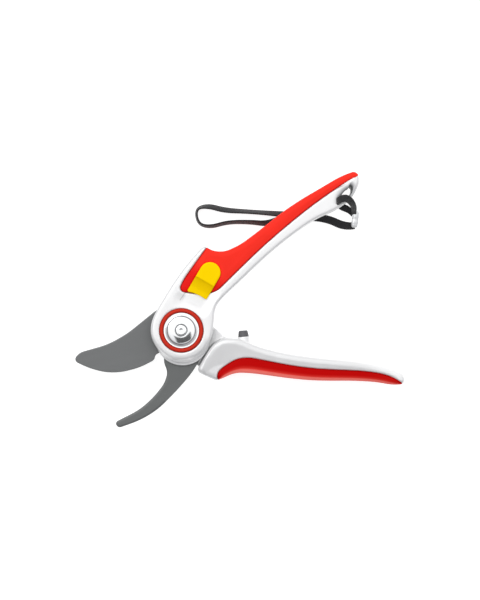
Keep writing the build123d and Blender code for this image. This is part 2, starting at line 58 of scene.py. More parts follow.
# --- Materials ---
NOISE_DETAIL = 4.0
CLOUD_SCALE = 0.04
GRAIN_DEPTH, GRAIN_STRENGTH = 0.00002, 0.4
WEAVE_DEPTH, WEAVE_STRENGTH = 0.0002, 0.5
SMOOTHEST = 0.02


def new_material(name, colour, roughness, metallic=0.0, specular=0.5, sheen=0.0):
    made = bpy.data.materials.new(name)
    made.use_nodes = True
    shader = made.node_tree.nodes["Principled BSDF"]
    shader.inputs["Base Color"].default_value = (*colour, 1)
    shader.inputs["Roughness"].default_value = roughness
    shader.inputs["Metallic"].default_value = metallic
    shader.inputs["Specular IOR Level"].default_value = specular
    shader.inputs["Sheen Weight"].default_value = sheen
    return made, made.node_tree.nodes, made.node_tree.links, shader


def texture_space(nodes, links, stretch=(1, 1, 1), source="Object"):
    place = nodes.new("ShaderNodeTexCoord")
    mapping = nodes.new("ShaderNodeMapping")
    mapping.inputs["Scale"].default_value = stretch
    links.new(place.outputs[source], mapping.inputs["Vector"])
    return mapping.outputs["Vector"]


def noise(nodes, links, where, scale):
    made = nodes.new("ShaderNodeTexNoise")
    made.inputs["Scale"].default_value = scale
    made.inputs["Detail"].default_value = NOISE_DETAIL
    links.new(where, made.inputs["Vector"])
    return made.outputs["Fac"]


def ramp(nodes, links, value, stops):
    made = nodes.new("ShaderNodeValToRGB")
    elements = made.color_ramp.elements
    for index, (place, colour) in enumerate(stops):
        element = elements[index] if index < 2 else elements.new(place)
        element.position = place
        element.color = (*colour, 1)
    links.new(value, made.inputs["Fac"])
    return made.outputs["Color"]


def bump(nodes, links, shader, height, strength, distance):
    made = nodes.new("ShaderNodeBump")
    made.inputs["Strength"].default_value = strength
    made.inputs["Distance"].default_value = distance
    links.new(height, made.inputs["Height"])
    links.new(made.outputs["Normal"], shader.inputs["Normal"])


def multiplied(nodes, links, first, second):
    made = nodes.new("ShaderNodeMix")
    made.data_type = "RGBA"
    made.blend_type = "MULTIPLY"
    made.inputs["Factor"].default_value = 1.0
    links.new(first, made.inputs["A"])
    links.new(second, made.inputs["B"])
    return made.outputs["Result"]


def shade(colour, factor):
    return tuple(min(1.0, c * factor) for c in colour)


def grained(name, colour, roughness, grain, spread, rough_spread=0.08, stretch=(1, 1, 1), painted_shade=None,
            **finish):
    """A finish with fine grain, faint cloudy colour variation and uneven gloss.
    The stops given, if any, make a ramp over the mesh's own values of painted shade, which tints the colour
    with painted shade."""
    made, nodes, links, shader = new_material(name, colour, roughness, **finish)
    where = texture_space(nodes, links, stretch)
    cloud = noise(nodes, links, where, grain * CLOUD_SCALE)
    tint = ramp(nodes, links, cloud, [(0.3, shade(colour, 1 - spread)), (0.7, shade(colour, 1 + spread))])
    if painted_shade:
        values = nodes.new("ShaderNodeAttribute")
        values.attribute_name = "painted_shade"
        tint = multiplied(nodes, links, tint, ramp(nodes, links, values.outputs["Fac"], painted_shade))
    links.new(tint, shader.inputs["Base Color"])
    fine = noise(nodes, links, where, grain)
    gloss = nodes.new("ShaderNodeMapRange")
    gloss.inputs["To Min"].default_value = max(SMOOTHEST, roughness - rough_spread)
    gloss.inputs["To Max"].default_value = roughness + rough_spread
    links.new(cloud, gloss.inputs["Value"])
    links.new(gloss.outputs["Result"], shader.inputs["Roughness"])
    bump(nodes, links, shader, fine, GRAIN_STRENGTH, GRAIN_DEPTH)
    return made


def waves(nodes, links, where, direction, scale, distortion):
    made = nodes.new("ShaderNodeTexWave")
    made.bands_direction = direction
    made.inputs["Scale"].default_value = scale
    made.inputs["Distortion"].default_value = distortion
    links.new(where, made.inputs["Vector"])
    return made.outputs["Color"]


def woven(name, colour, roughness):
    """Narrow webbing: ribs across its width and fine threads along it, from the ribbon's own u and v."""
    made, nodes, links, shader = new_material(name, colour, roughness, specular=0.3, sheen=0.25)
    where = texture_space(nodes, links, source="UV")
    ribs = waves(nodes, links, where, "Y", 14.0, 0.6)
    threads = waves(nodes, links, where, "X", 3.2, 1.5)
    weave = multiplied(nodes, links, ribs, threads)
    tint = ramp(nodes, links, weave, [(0.0, shade(colour, 0.55)), (0.7, shade(colour, 1.5))])
    links.new(tint, shader.inputs["Base Color"])
    bump(nodes, links, shader, weave, WEAVE_STRENGTH, WEAVE_DEPTH)
    return made


WHITE = (1, 1, 1)
ALLOY = (0.84, 0.842, 0.845)
BLADE_STRETCH = (1, 5, 5)
MATERIALS = {
    "alloy": grained(
        "alloy", ALLOY, 0.35, grain=2600, metallic=0.35, spread=0.015,
        # The ramp paints shade: at the seams, round the eye, in the score, on the head's outer rim and over
        # the lower handle's top.
        painted_shade=[(0.0, WHITE), (0.7, (0.55, 0.55, 0.56)), (1.0, (0.12, 0.13, 0.13))],
    ),
    "red": grained(
        "red", (0.92, 0.030, 0.017), 0.45, grain=3200, spread=0.03, specular=0.06,
        # The ramp paints shade along the seam and beside the lock.
        painted_shade=[(0.0, WHITE), (0.3, (0.84, 0.32, 0.42)), (1.0, (0.40, 0.2, 0.2))],
    ),
    # The lower grip's red, lightened to a painted highlight for its outer rounding; the ramp paints shade in
    # the channel beside the seam.
    "red_painted_highlight_and_shade": grained(
        "red_painted_highlight_and_shade", (1.0, 0.21, 0.175), 0.42, grain=3200, spread=0.03, specular=0.03,
        painted_shade=[
            (0.0, WHITE), (0.2, (0.68, 0.135, 0.12)), (0.5, (0.475, 0.002, 0.002)), (1.0, (0.30, 0.0, 0.0)),
        ],
    ),
    "hook": grained(
        "hook", (0.128, 0.134, 0.133), 0.42, grain=900, spread=0.03, stretch=BLADE_STRETCH,
        metallic=0.2, specular=0.4,
    ),
    "blade": grained(
        "blade", (0.150, 0.155, 0.156), 0.40, grain=900, spread=0.03, stretch=BLADE_STRETCH,
        metallic=0.2, specular=0.4,
    ),
    "chrome": grained(
        "chrome", (0.86, 0.87, 0.88), 0.09, grain=500, spread=0.01, rough_spread=0.03, metallic=1.0,
        # The ramp paints shade in the nut's groove and at the edge of its bore.
        painted_shade=[(0.0, WHITE), (1.0, (0.22, 0.22, 0.23))],
    ),
    "steel": grained("steel", (0.62, 0.62, 0.63), 0.3, grain=1500, spread=0.04, metallic=1.0),
    "brass": grained("brass", (0.75, 0.55, 0.25), 0.3, grain=1500, spread=0.04, metallic=1.0),
    "ring": grained(
        "ring", (0.58, 0.034, 0.018), 0.32, grain=1800, spread=0.03, specular=0.04,
        # The ramp paints shade at the ring's two edges.
        painted_shade=[(0.0, WHITE), (1.0, (0.22, 0.15, 0.15))],
    ),
    "yellow": grained(
        "yellow", (0.98, 0.66, 0.0), 0.42, grain=2400, spread=0.015, specular=0.02,
        # The ramp paints shade on the slider's thumb ramp.
        painted_shade=[(0.0, WHITE), (1.0, (0.76, 0.72, 0.7))],
    ),
    "rubber": grained("rubber", (0.09, 0.09, 0.095), 0.55, grain=2600, spread=0.08),
    "clip": grained("clip", (0.76, 0.77, 0.78), 0.38, grain=1600, spread=0.02, metallic=0.5),
    "webbing": woven("webbing", (0.021, 0.021, 0.023), 0.85),
}
FINISHES = {
    "upper_frame": "alloy", "upper_grip": "red", "hook_blade": "hook", "hook_screws": "steel",
    "pivot_bolt": "chrome", "pivot_washer": "chrome", "pivot_nut": "chrome", "pivot_ring": "ring",
    "return_spring": "steel", "wrist_strap": "webbing", "eye_loop": "webbing", "strap_clip": "clip",
    "lock_slider": "yellow", "lock_catch": "steel", "lower_frame": "alloy", "lower_grip": "red_painted_highlight_and_shade",
    "cutting_blade": "blade", "blade_rivets": "steel", "pivot_bush": "brass", "buffer_cap": "rubber",
}
for node, finish in FINISHES.items():
    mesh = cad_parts[node].data
    mesh.materials.clear()
    mesh.materials.append(MATERIALS[finish])


# --- Wrist strap and the small loop through the handle's eye ---
STRAP_WIDTH, STRAP_THICKNESS = 4.9, 1.2
STRAP_CLEARANCE = 0.15
EDGE_POINTS = 20
RIBBON_SPACING = 0.25
RIB_PITCH, RIB_DEPTH = 1.15, 0.022
WIDE_POWER, THICK_POWER = 0.45, 0.6
LINE_RESOLUTION = 24


def smooth_line(control):
    """Points of the smooth NURBS line that has these control points."""
    data = bpy.data.curves.new("route", "CURVE")
    data.dimensions = "3D"
    data.resolution_u = LINE_RESOLUTION
    spline = data.splines.new("NURBS")
    spline.points.add(len(control) - 1)
    for point, place in zip(spline.points, control):
        point.co = (*place, 1)
    spline.order_u = 3
    spline.use_endpoint_u = True
    route = bpy.data.objects.new("route", data)
    line = bpy.data.meshes.new_from_object(route)
    points = np.array([v.co for v in line.vertices])
    bpy.data.objects.remove(route)
    return points


def unit(vectors):
    return vectors / np.linalg.norm(vectors, axis=1)[:, None]


def linked(name, mesh, finish):
    mesh.materials.append(MATERIALS[finish])
    piece = bpy.data.objects.new(name, mesh)
    bpy.context.scene.collection.objects.link(piece)
    return piece


def stands_for(piece, node, body):
    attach(piece, body)
    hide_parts(node)


def powered(value, power):
    """The value's size to that power, with the value's own sign."""
    return math.copysign(abs(value) ** power, value)


def ribbon(name, route, across, widths):
    """Webbing along a route, in millimetres. At each control point, across says which way its width points,
    and widths how much of its full width it has. Returns the piece and the points that it follows, in
    metres."""
    line, sides, spans = smooth_line(route), smooth_line(across), smooth_line([(w, 0, 0) for w in widths])
    run = np.concatenate([[0], np.cumsum(np.linalg.norm(np.diff(line, axis=0), axis=1))])
    places = np.linspace(0, run[-1], int(run[-1] / RIBBON_SPACING) + 1)
    line = np.stack([np.interp(places, run, line[:, k]) for k in range(3)], axis=1)
    sides = np.stack([np.interp(places, run, sides[:, k]) for k in range(3)], axis=1)
    spans = np.interp(places, run, spans[:, 0])
    heading = unit(np.gradient(line, axis=0))
    sides = unit(sides - heading * (sides * heading).sum(axis=1)[:, None])
    faces_way = np.cross(heading, sides)
    ribs = 1 + RIB_DEPTH * np.sin(places * 2 * math.pi / RIB_PITCH)
    vertices, uvs = [], []
    for k in range(EDGE_POINTS):
        turn = 2 * math.pi * k / EDGE_POINTS
        wide = powered(math.cos(turn), WIDE_POWER) * STRAP_WIDTH / 2
        thick = powered(math.sin(turn), THICK_POWER) * STRAP_THICKNESS / 2
        vertices.append(line + sides * (wide * spans * ribs)[:, None] + faces_way * (thick * ribs)[:, None])
        uvs.append(0.5 + wide / STRAP_WIDTH)
    count = len(places)
    corners = np.concatenate(vertices) * MM
    faces = []
    for k in range(EDGE_POINTS):
        following = (k + 1) % EDGE_POINTS
        for i in range(count - 1):
            here, beside = k * count + i, following * count + i
            faces.append((here, beside, beside + 1, here + 1))
    faces.append([k * count for k in range(EDGE_POINTS)][::-1])
    faces.append([k * count + count - 1 for k in range(EDGE_POINTS)])
    mesh = bpy.data.meshes.new(name)
    mesh.from_pydata(corners.tolist(), [], faces)
    layer = mesh.uv_layers.new(name="weave")
    for loop in mesh.loops:
        ring, step = divmod(loop.vertex_index, count)
        layer.data[loop.index].uv = (uvs[ring], places[step] / STRAP_WIDTH)
    mesh.shade_smooth()
    return linked(name, mesh, "webbing"), line * MM


# Each point of the strap's route, seen from above, and how far its webbing leans from lying flat, in degrees
STRAP_ROUTE = [
    (124.2, 37.2, 12), (117.9, 38.0, 4), (108.6, 46.0, 4), (93.5, 51.3, 10), (76.6, 57.5, 52),
    (60.0, 63.1, 62), (45.5, 67.7, 46), (36.6, 73.0, 50), (28.1, 73.5, 76), (27.0, 63.4, 76),
    (34.2, 59.4, 66), (46.0, 59.8, 66), (60.0, 56.2, 62), (69.4, 52.6, 48), (78.0, 52.6, 12),
    (85.5, 53.9, 0),
]
# How wide the webbing is at its first points, as a share of its full width
STRAP_START_WIDTHS = [0.92, 1.1, 1.05]
# The heights of the last two points, where the strap's end laps over its first strand, under the handle
LAP_HEIGHTS = {14: 1.6, 15: 2.0}
strap_places, strap_across = [], []
for index, (x, y, lean) in enumerate(STRAP_ROUTE):
    before, after = STRAP_ROUTE[max(index - 1, 0)], STRAP_ROUTE[min(index + 1, len(STRAP_ROUTE) - 1)]
    way = Vector((after[0] - before[0], after[1] - before[1])).normalized()
    lean = math.radians(lean)
    height = STRAP_CLEARANCE + STRAP_WIDTH / 2 * math.sin(lean) + STRAP_THICKNESS / 2 * math.cos(lean)
    strap_places.append((x, y, LAP_HEIGHTS.get(index, height)))
    strap_across.append((-way.y * math.cos(lean), way.x * math.cos(lean), math.sin(lean)))
strap_widths = STRAP_START_WIDTHS + [1.0] * (len(STRAP_ROUTE) - len(STRAP_START_WIDTHS))
strap, strap_line = ribbon("wrist_strap_webbing", strap_places, strap_across, strap_widths)
stands_for(strap, "wrist_strap", "upper_handle")

LOOP_ROUTE = [
    (125.7, 43.6, 2.2), (125.8, 45.6, 4.6), (126.4, 48.0, 10.0), (125.8, 51.0, 16.0), (124.0, 54.3, 18.8),
    (121.6, 55.8, 19.4), (117.7, 55.2, 18.9), (115.9, 53.8, 14.5), (116.5, 54.4, 7.0), (117.5, 53.4, 3.5),
    (119.2, 50.8, 3.0), (121.4, 49.4, 2.2), (124.2, 46.8, 1.3), (125.1, 43.8, 1.4),
]
LOOP_ACROSS = [
    (1.0, -0.2, 0.3), (1.0, -0.3, 0.4), (1.0, -0.15, 0.5), (0.9, 0.25, 0.1), (0.75, 0.55, -0.25),
    (0.3, 0.9, -0.4), (0.0, 1.0, -0.2), (0.2, 1.0, 0.0), (0.25, 1.0, 0.0), (0.5, 0.9, 0.1),
    (0.75, 0.66, 0.1), (0.7, 0.7, 0.1), (0.95, 0.3, 0.1), (1.0, 0.2, 0.1),
]
LOOP_WIDTHS = [0.55, 0.62, 0.72, 0.86, 0.98, 1.0, 0.95, 0.86, 0.82, 0.85, 0.9, 0.95, 0.8, 0.6]
loop, loop_line = ribbon("eye_loop_webbing", LOOP_ROUTE, LOOP_ACROSS, LOOP_WIDTHS)
stands_for(loop, "eye_loop", "upper_handle")

# --- Pivot: bolt, domed nut with a groove near its rim, and the red trim ring ---
TURNED_SEGMENTS = 128
CORNER_SHARE, LARGEST_CUT = 0.25, 0.35


def turned(name, profile, finish, painted_shade=None):
    """A piece turned on the pivot's axis, from (radius, height) pairs in millimetres that start and end on
    the axis, or end where they start. Its last argument, if given, gives the amount of painted shade at a
    radius."""
    rings = []
    vertices, faces = [], []
    for radius, height in profile:
        if radius == 0:
            rings.append([len(vertices)] * TURNED_SEGMENTS)
            vertices.append((0, 0, height))
            continue
        first = len(vertices)
        rings.append(list(range(first, first + TURNED_SEGMENTS)))
        for k in range(TURNED_SEGMENTS):
            turn = 2 * math.pi * k / TURNED_SEGMENTS
            vertices.append((radius * math.cos(turn), radius * math.sin(turn), height))
    if profile[0][0] > 0:
        rings.append(rings[0])
    for below, above in zip(rings, rings[1:]):
        for k in range(TURNED_SEGMENTS):
            following = (k + 1) % TURNED_SEGMENTS
            corner = [below[k], below[following], above[following], above[k]]
            faces.append(list(dict.fromkeys(corner)))
    mesh = bpy.data.meshes.new(name)
    mesh.from_pydata([tuple(c * MM for c in v) for v in vertices], [], faces)
    mesh.shade_smooth()
    if painted_shade:
        values = mesh.attributes.new("painted_shade", "FLOAT", "POINT")
        values.data.foreach_set("value", [painted_shade(math.hypot(x, y)) for x, y, _ in vertices])
    return linked(name, mesh, finish)


def softened(points):
    """The profile with each corner cut twice, so that it catches the light as a small round."""
    for _ in range(2):
        cut = [points[0]]
        for before, here, after in zip(points, points[1:], points[2:]):
            for other in (before, after):
                gap = math.dist(here, other)
                part = min(CORNER_SHARE, LARGEST_CUT / gap)
                cut.append(tuple(h + (o - h) * part for h, o in zip(here, other)))
        cut.append(points[-1])
        points = cut
    return points


# Profiles as pairs of radius and height
BOLT_PROFILE = [
    (0, 0.05), (7.2, 0.0), (8.0, 0.7), (8.0, 2.2), (7.5, 2.7), (4.0, 2.7), (4.0, 18.3), (3.5, 18.5),
    (3.5, 21.9), (3.2, 22.15), (1.2, 22.2), (0.8, 22.0), (0, 22.0),
]
NUT_PROFILE = [
    (3.65, 18.6), (3.65, 21.5), (3.9, 21.8), (5.6, 21.69), (7.0, 21.5), (8.7, 21.2), (8.9, 20.8),
    (9.15, 20.75), (9.3, 20.85), (9.95, 20.48), (10.3, 20.42), (10.4, 20.3), (10.4, 18.6),
]
GROOVE_RADIUS, GROOVE_WIDTH = 9.05, 0.34
BORE_RADIUS, BORE_WIDTH, BORE_PAINTED_SHADE = 4.0, 0.3, 0.6
RING_PROFILE = [
    (11.2, 18.9), (11.2, 19.7), (11.5, 20.1), (12.1, 20.65), (12.7, 20.8), (13.3, 20.6), (13.9, 20.0),
    (14.2, 19.5), (14.2, 18.9),
]
RING_CREST_RADIUS, RING_HALF_WIDTH = 12.7, 1.5


def nut_painted_shade(radius):
    """Painted shade: full in the groove, and less at the bore's edge."""
    groove = math.exp(-((radius - GROOVE_RADIUS) / GROOVE_WIDTH) ** 2)
    return groove + BORE_PAINTED_SHADE * math.exp(-((radius - BORE_RADIUS) / BORE_WIDTH) ** 2)


def ring_painted_shade(radius):
    """Painted shade: none on the ring's crest, and full at both its edges."""
    return min(1.0, (abs(radius - RING_CREST_RADIUS) / RING_HALF_WIDTH) ** 3)


bolt = turned("pivot_bolt_turned", softened(BOLT_PROFILE), "chrome")
stands_for(bolt, "pivot_bolt", "upper_handle")
nut = turned("pivot_nut_turned", softened(NUT_PROFILE) + NUT_PROFILE[:1], "chrome", nut_painted_shade)
stands_for(nut, "pivot_nut", "upper_handle")
ring = turned("pivot_ring_turned", softened(RING_PROFILE) + RING_PROFILE[:1], "ring", ring_painted_shade)
stands_for(ring, "pivot_ring", "upper_handle")

# --- Clip: a crimped ferrule with rounded ends ---
CLIP_CENTRE, CLIP_WAY = Vector((125.5, 41.1, 2.3)), Vector((0.36, 0.93, 0))
CLIP_LENGTH, CLIP_WIDTH, CLIP_HEIGHT = 10.8, 4.6, 4.1
CLIP_ROWS, CLIP_COLUMNS = 40, 48
ROUND_POWER, END_POWER = 0.75, 0.38
CRIMP_DEPTH, CRIMP_WIDTH = 0.08, 0.9
SCORE_DEPTH, SCORE_WIDTH, SCORE_PLACE = 0.03, 0.3, 3.2


def ferrule():
    """A rounded closed sleeve, pinched across its middle and scored near both ends."""
    vertices, faces = [], []
    along = CLIP_WAY.normalized()
    aside = Vector((-along.y, along.x, 0))
    for i in range(CLIP_ROWS + 1):
        latitude = math.pi * i / CLIP_ROWS - math.pi / 2
        length = powered(math.sin(latitude), ROUND_POWER) * CLIP_LENGTH / 2
        girth = max(math.cos(latitude), 0) ** END_POWER
        crimp = CRIMP_DEPTH * math.exp(-(length / CRIMP_WIDTH) ** 2)
        score = SCORE_DEPTH * math.exp(-((abs(length) - SCORE_PLACE) / SCORE_WIDTH) ** 2)
        girth *= 1 - crimp - score
        for j in range(CLIP_COLUMNS):
            turn = 2 * math.pi * j / CLIP_COLUMNS
            wide = powered(math.cos(turn), ROUND_POWER) * CLIP_WIDTH / 2 * girth
            tall = powered(math.sin(turn), ROUND_POWER) * CLIP_HEIGHT / 2 * girth
            vertices.append((CLIP_CENTRE + along * length + aside * wide + Vector((0, 0, tall))) * MM)
    for i in range(CLIP_ROWS):
        for j in range(CLIP_COLUMNS):
            here, beside = i * CLIP_COLUMNS + j, i * CLIP_COLUMNS + (j + 1) % CLIP_COLUMNS
            faces.append((here, beside, beside + CLIP_COLUMNS, here + CLIP_COLUMNS))
    mesh = bpy.data.meshes.new("strap_clip_crimped")
    mesh.from_pydata(vertices, [], faces)
    mesh.shade_smooth()
    return linked("strap_clip_crimped", mesh, "clip")


clip = ferrule()
stands_for(clip, "strap_clip", "upper_handle")

# --- Fine even meshes of CAD nodes, with their surfaces shaped further ---
OUTLINE_SPACING, SHARED_GAP = 0.3, 0.25
WELD_GAP = 0.000001


def outline_at(node, level):
    """Points, in millimetres seen from above, along a node's outline at a level."""
    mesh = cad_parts[node].data
    corners = np.array([v.co for v in mesh.vertices]) / MM
    mesh.calc_loop_triangles()
    triangles = corners[np.array([t.vertices for t in mesh.loop_triangles])]
    points = []
    for triangle in triangles:
        heights = triangle[:, 2] - level
        if heights.min() >= 0 or heights.max() < 0:
            continue
        ends = []
        for a, b in ((0, 1), (1, 2), (2, 0)):
            if (heights[a] < 0) != (heights[b] < 0):
                change = heights[a] - heights[b]
                ends.append(triangle[a] + (triangle[b] - triangle[a]) * heights[a] / change)
        steps = int(math.dist(ends[0], ends[1]) / OUTLINE_SPACING) + 2
        points.append(np.linspace(ends[0][:2], ends[1][:2], steps))
    return np.concatenate(points)


def tree_of(points):
    tree = KDTree(len(points))
    for index, (x, y) in enumerate(points):
        tree.insert((x, y, 0), index)
    tree.balance()
    return tree


def distances(points, tree):
    """How far each point is, seen from above, from the nearest of the tree's points."""
    return np.array([tree.find((x, y, 0))[2] for x, y in points[:, :2]])


def split_outline(node, neighbour, level):
    """A node's outline at a level: its own outside, and what it shares with its neighbour."""
    own = outline_at(node, level)
    shared = distances(own, tree_of(outline_at(neighbour, level))) < SHARED_GAP
    return own[~shared], own[shared]


def smooth_step(values, low, high):
    t = np.clip((values - low) / (high - low), 0, 1)
    return t * t * (3 - 2 * t)


def sculpted(node, body, finish, voxel, reshape, relax=1):
    """A fine even mesh in the shape of a CAD node, with voxels in millimetres. reshape gets its points, also
    in millimetres, and returns where they go and an amount of painted shade for each, which is held between
    0 and 1."""
    name = node + "_fine"
    piece = bpy.data.objects.new(name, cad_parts[node].data.copy())
    bpy.context.scene.collection.objects.link(piece)
    merged = piece.modifiers.new("merge", "WELD")
    merged.merge_threshold = WELD_GAP
    remesh = piece.modifiers.new("even", "REMESH")
    remesh.mode = "VOXEL"
    remesh.voxel_size = voxel * MM
    relaxing = piece.modifiers.new("relax", "SMOOTH")
    relaxing.factor = 0.5
    relaxing.iterations = relax
    fine = bpy.data.meshes.new_from_object(piece.evaluated_get(bpy.context.evaluated_depsgraph_get()))
    piece.modifiers.clear()
    piece.data = fine
    fine.name = name
    places = np.zeros(len(fine.vertices) * 3)
    fine.vertices.foreach_get("co", places)
    places, painted_shade = reshape(places.reshape(-1, 3) / MM)
    fine.vertices.foreach_set("co", (places * MM).ravel())
    values = fine.attributes.new("painted_shade", "FLOAT", "POINT")
    values.data.foreach_set("value", np.clip(painted_shade, 0, 1))
    fine.update()
    fine.shade_smooth()
    fine.materials.clear()
    fine.materials.append(MATERIALS[finish])
    stands_for(piece, node, body)


# In everything below that gives shape, widths, falls and levels are in millimetres.
# The heights at which the handles' outlines are taken
RIM_LEVEL, SEAM_LEVEL = 13.0, 15.6
# A handle's middle height, and how far from it the sinking of a broad face begins and is full
HANDLE_MIDDLE, FACE_START, FACE_FULL = 9.8, 2.5, 7.0
CAD_ROUND = 2.8


def lower_faces(places, drop_top, drop_under):
    """Sinks a handle's two broad faces toward its middle, fading out along its side walls."""
    moved = places.copy()
    heights = places[:, 2]
    over = smooth_step(heights, HANDLE_MIDDLE + FACE_START, HANDLE_MIDDLE + FACE_FULL)
    under = 1 - smooth_step(heights, HANDLE_MIDDLE - FACE_FULL, HANDLE_MIDDLE - FACE_START)
    moved[:, 2] += under * drop_under - over * drop_top
    return moved


def circle_fall(distance, radius):
    """How far a round of that radius has fallen, that far in from its edge."""
    t = np.clip(radius - distance, 0, radius)
    return radius - np.sqrt(radius * radius - t * t)


def reround(distance, radius):
    """The change in fall that turns the CAD rim's rounding into one of another radius."""
    return circle_fall(distance, radius) - circle_fall(distance, CAD_ROUND)


def bevel(distance, width, drop):
    """A straight fall toward an edge."""
    return drop * np.clip(1 - distance / width, 0, None)


def near(distance, width):
    """1 at an edge, fading out beyond that width."""
    return np.exp(-(distance / width) ** 2)


# Upper handle
EYE_CENTRE, EYE_WAY, EYE_ASIDE = np.array([122.6, 58.4]), np.array([0.77, 0.64]), np.array([-0.64, 0.77])
EYE_HALF_LENGTH, EYE_HALF_WIDTH = 8.5, 3.9
OPENINGS_RADIUS = 17.2
SLOT_LOW, SLOT_HIGH = [13, 15], [28.5, 28.5]
upper_out, _ = split_outline("upper_frame", "upper_grip", RIM_LEVEL)
_, upper_seam_points = split_outline("upper_frame", "upper_grip", SEAM_LEVEL)
along_eye, across_eye = (upper_out - EYE_CENTRE) @ EYE_WAY, (upper_out - EYE_CENTRE) @ EYE_ASIDE
in_eye = (along_eye / EYE_HALF_LENGTH) ** 2 + (across_eye / EYE_HALF_WIDTH) ** 2 < 1
in_slot = ((upper_out > SLOT_LOW) & (upper_out < SLOT_HIGH)).all(axis=1)
from_pivot = np.hypot(upper_out[:, 0], upper_out[:, 1])
# The rim leaves out the openings round the pivot, the slider's slot and the eye
upper_rim = tree_of(upper_out[(from_pivot > OPENINGS_RADIUS) & ~in_slot & ~in_eye])
upper_eye = tree_of(upper_out[in_eye])
upper_seam = tree_of(upper_seam_points)

# A scored line in the head, and the right side and the front of the slider's track, where the frame's face
# runs down into it
SCORE_ENDS = (9.2, 23.3), (4.1, 19.0)
TRACK_RIGHT, TRACK_CORNER, TRACK_LEFT = (24.0, 19.0), (15.7, 11.1), (6.5, 18.0)
TRACK_FLOOR, TRACK_RISE, TRACK_RISE_WIDTH = 18.97, 0.65, 8.0
score_line = tree_of(np.linspace(*SCORE_ENDS, 40))
track_sides = tree_of(np.concatenate([
    np.linspace(TRACK_RIGHT, TRACK_CORNER, 60), np.linspace(TRACK_CORNER, TRACK_LEFT, 60),
]))
# The way from the pivot to the head's front, and the corner that the slider's stem comes closest to
FRONT_WAY = np.array([-0.25, -0.97])
STEM_CORNER = np.array([20.4, 16.4, 15.4])
FRONT_ROUND, TOP_ROUND, UNDER_ROUND = 3.6, 2.1, 1.9
RING_SEAT_RADIUS = 14.4


def shape_upper_frame(places):
    edge, eye = distances(places, upper_rim), distances(places, upper_eye)
    seam = distances(places, upper_seam)
    radius = np.hypot(places[:, 0], places[:, 1])
    # How far the top falls: widely at the head's front, and narrowly at the seam, the eye and the score
    front = smooth_step(places[:, :2] @ FRONT_WAY, 4.0, 15.0) * (1 - smooth_step(radius, 20.5, 30.0))
    front_fall = reround(edge, FRONT_ROUND) + bevel(edge, 6.5, 0.5)
    fall = front * front_fall + (1 - front) * reround(edge, TOP_ROUND)
    score = near(distances(places, score_line), 0.3) * (places[:, 2] > 18)
    fall += 0.5 * near(seam, 0.35) + 0.9 * near(eye, 0.8) + 0.4 * score
    fall[radius < RING_SEAT_RADIUS] = 0
    # Painted shade at the seam, round the eye and most on its far and outer walls, in the score, and on the
    # rim at the head's outer side
    far_end = smooth_step(places[:, 0], 122, 127)
    aside = smooth_step((places[:, :2] - EYE_CENTRE) @ EYE_ASIDE, 0.5, 2.5)
    shaded = np.maximum(far_end, 0.85 * aside)
    outer_side = smooth_step(places[:, 1] - places[:, 0], 4.0, 12.0)
    painted_shade = 0.2 * near(seam, 0.4) + (0.4 + 0.6 * shaded) * near(eye, 0.5 + 0.9 * shaded) + 0.65 * score
    painted_shade += 0.34 * outer_side * near(edge, 1.0)
    moved = lower_faces(places, fall, (1 - front) * reround(edge, UNDER_ROUND))
    # The top runs down to the slider's track
    rise = TRACK_RISE * smooth_step(distances(places, track_sides), 0.0, TRACK_RISE_WIDTH)
    on_top = places[:, 2] > 18.3
    moved[:, 2] = np.where(on_top, np.minimum(moved[:, 2], TRACK_FLOOR + rise), moved[:, 2])
    # The eye's walls slant, and the corner beside the slider's stem draws back from it
    slant = far_end * near(eye, 1.2) * (3.0 - 2.0 * smooth_step(places[:, 2], 8.0, 18.5))
    moved[:, :2] -= slant[:, None] * EYE_WAY + (2.2 * aside * near(eye, 1.5))[:, None] * EYE_ASIDE
    by_stem = near(np.linalg.norm(places - STEM_CORNER, axis=1), 1.0)
    moved -= 0.35 * by_stem[:, None] * np.array([0.7, 0.7, 1.0])
    return moved, painted_shade


sculpted("upper_frame", "upper_handle", "alloy", 0.45, shape_upper_frame)
upper_grip_out, _ = split_outline("upper_grip", "upper_frame", RIM_LEVEL)
upper_grip_rim = tree_of(upper_grip_out)


def shape_upper_grip(places):
    edge, seam = distances(places, upper_grip_rim), distances(places, upper_seam)
    crown = 0.35 * smooth_step(np.minimum(edge, seam), 0.0, 4.0)
    head_end = 1 - smooth_step(places[:, 0] + 0.9 * places[:, 1], 44.0, 58.0)
    beside_lock = head_end * (1 - smooth_step(seam, 4.5, 9.0))
    fall = 0.55 * near(seam, 0.4) - crown + 0.5 * beside_lock
    # Painted shade along the seam and on the grip beside the lock, on top only
    painted_shade = (near(seam, 0.45) + 0.3 * beside_lock) * (places[:, 2] > HANDLE_MIDDLE)
    return lower_faces(places, fall, 0), painted_shade


sculpted("upper_grip", "upper_handle", "red", 0.42, shape_upper_grip)

# Lower handle
LOWER_AXIS, LOWER_ACROSS = np.array([0.903, -0.43]), np.array([-0.43, -0.903])
LOWER_ROUND = 2.2
STATION_REACH, SMOOTHED_STATIONS = 1.5, 13
lower_out, _ = split_outline("lower_frame", "lower_grip", RIM_LEVEL)
_, lower_seam_points = split_outline("lower_frame", "lower_grip", SEAM_LEVEL)
lower_rim, lower_seam = tree_of(lower_out), tree_of(lower_seam_points)
# Where the inner edge lies across the handle, at stations along it, smoothed
lower_along, lower_aside = lower_out @ LOWER_AXIS, lower_out @ LOWER_ACROSS
stations = np.arange(5.0, 150.0, 1.0)
inner_edge = [
    lower_aside[np.abs(lower_along - station) < STATION_REACH].min(initial=60.0) for station in stations
]
inner_edge = np.pad(inner_edge, SMOOTHED_STATIONS // 2, mode="edge")
inner_edge = np.convolve(inner_edge, np.ones(SMOOTHED_STATIONS) / SMOOTHED_STATIONS, mode="valid")


